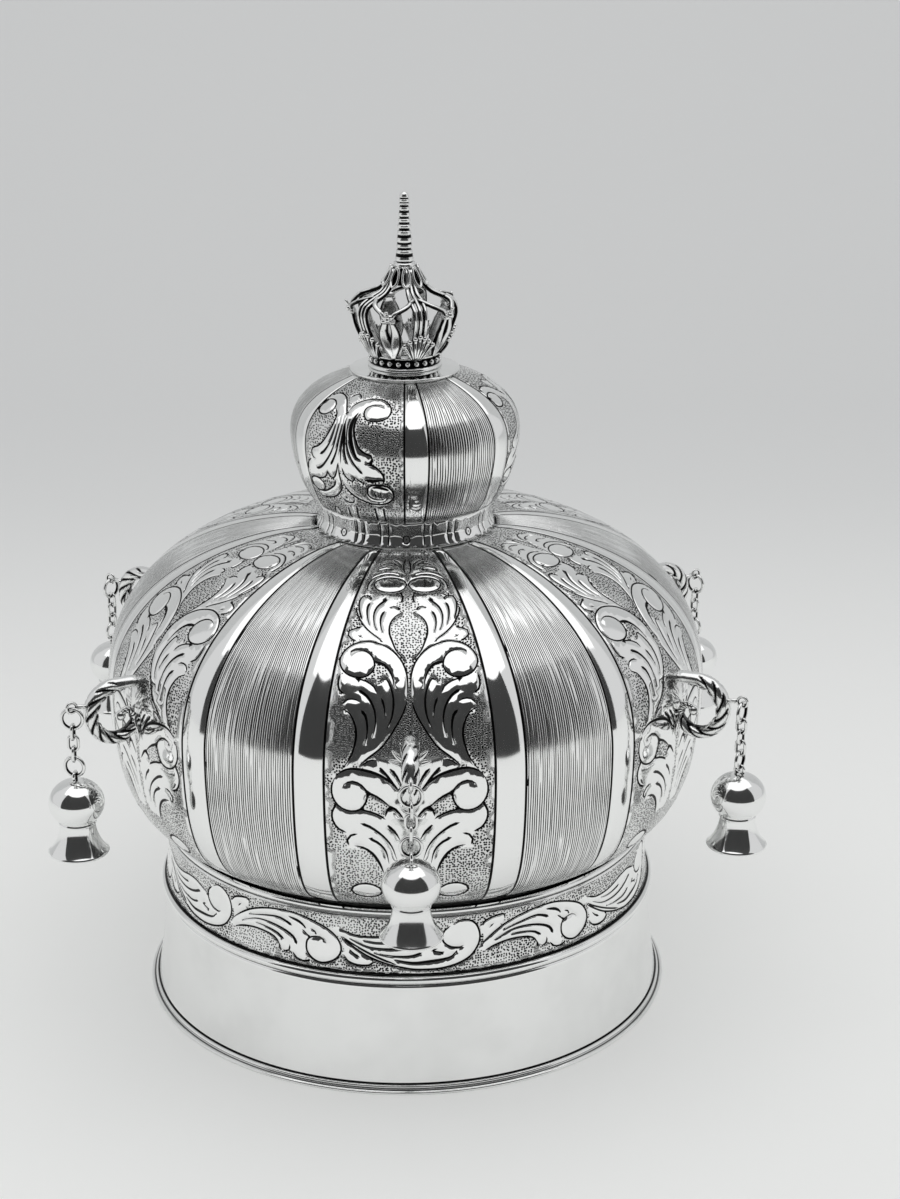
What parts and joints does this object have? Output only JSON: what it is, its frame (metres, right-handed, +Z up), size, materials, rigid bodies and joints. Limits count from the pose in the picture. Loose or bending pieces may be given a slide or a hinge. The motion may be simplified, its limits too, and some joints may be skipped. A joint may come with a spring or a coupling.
{
  "type": "torah crown",
  "caption": "Hollow silver crown for a scroll: round collar, domed body with engraved panels, bells hung from scroll arms, bulb and small openwork crown on top.",
  "frame": {"origin": "middle of the foot ring's underside, on the surface the crown stands on", "axes": "+Z up along the crown's axis; -Y is the front, where the first arm points"},
  "size_m": [0.256, 0.2924, 0.3045],
  "materials": {
    "polished_silver": "bright mirror polish with fine wear",
    "engraved_silver": "bright silver with black oxidised engraving and matted grounds",
    "cast_silver": "cast silver, bright on the crests, oxidised in the hollows",
    "wire_silver": "drawn silver wire, slightly tarnished"
  },
  "bodies": {
    "root": {"foot_ring": "polished_silver", "collar": "polished_silver", "collar_moulding": "polished_silver", "engraved_band": "engraved_silver", "seat_ring": "polished_silver", "dome": "engraved_silver", "bulb": "engraved_silver", "cap": "polished_silver", "mini_crown": "cast_silver", "spire": "cast_silver", "arm_1": "cast_silver", "ring_top_1": "wire_silver", "link_a_1": "wire_silver", "link_b_1": "wire_silver", "link_c_1": "wire_silver", "ring_low_1": "wire_silver", "bell_1": "polished_silver", "arm_2": "cast_silver", "ring_top_2": "wire_silver", "link_a_2": "wire_silver", "link_b_2": "wire_silver", "link_c_2": "wire_silver", "ring_low_2": "wire_silver", "bell_2": "polished_silver", "arm_3": "cast_silver", "ring_top_3": "wire_silver", "link_a_3": "wire_silver", "link_b_3": "wire_silver", "link_c_3": "wire_silver", "ring_low_3": "wire_silver", "bell_3": "polished_silver", "arm_4": "cast_silver", "ring_top_4": "wire_silver", "link_a_4": "wire_silver", "link_b_4": "wire_silver", "link_c_4": "wire_silver", "ring_low_4": "wire_silver", "bell_4": "polished_silver", "arm_5": "cast_silver", "ring_top_5": "wire_silver", "link_a_5": "wire_silver", "link_b_5": "wire_silver", "link_c_5": "wire_silver", "ring_low_5": "wire_silver", "bell_5": "polished_silver", "arm_6": "cast_silver", "ring_top_6": "wire_silver", "link_a_6": "wire_silver", "link_b_6": "wire_silver", "link_c_6": "wire_silver", "ring_low_6": "wire_silver", "bell_6": "polished_silver"}
  },
  "joints": []
}
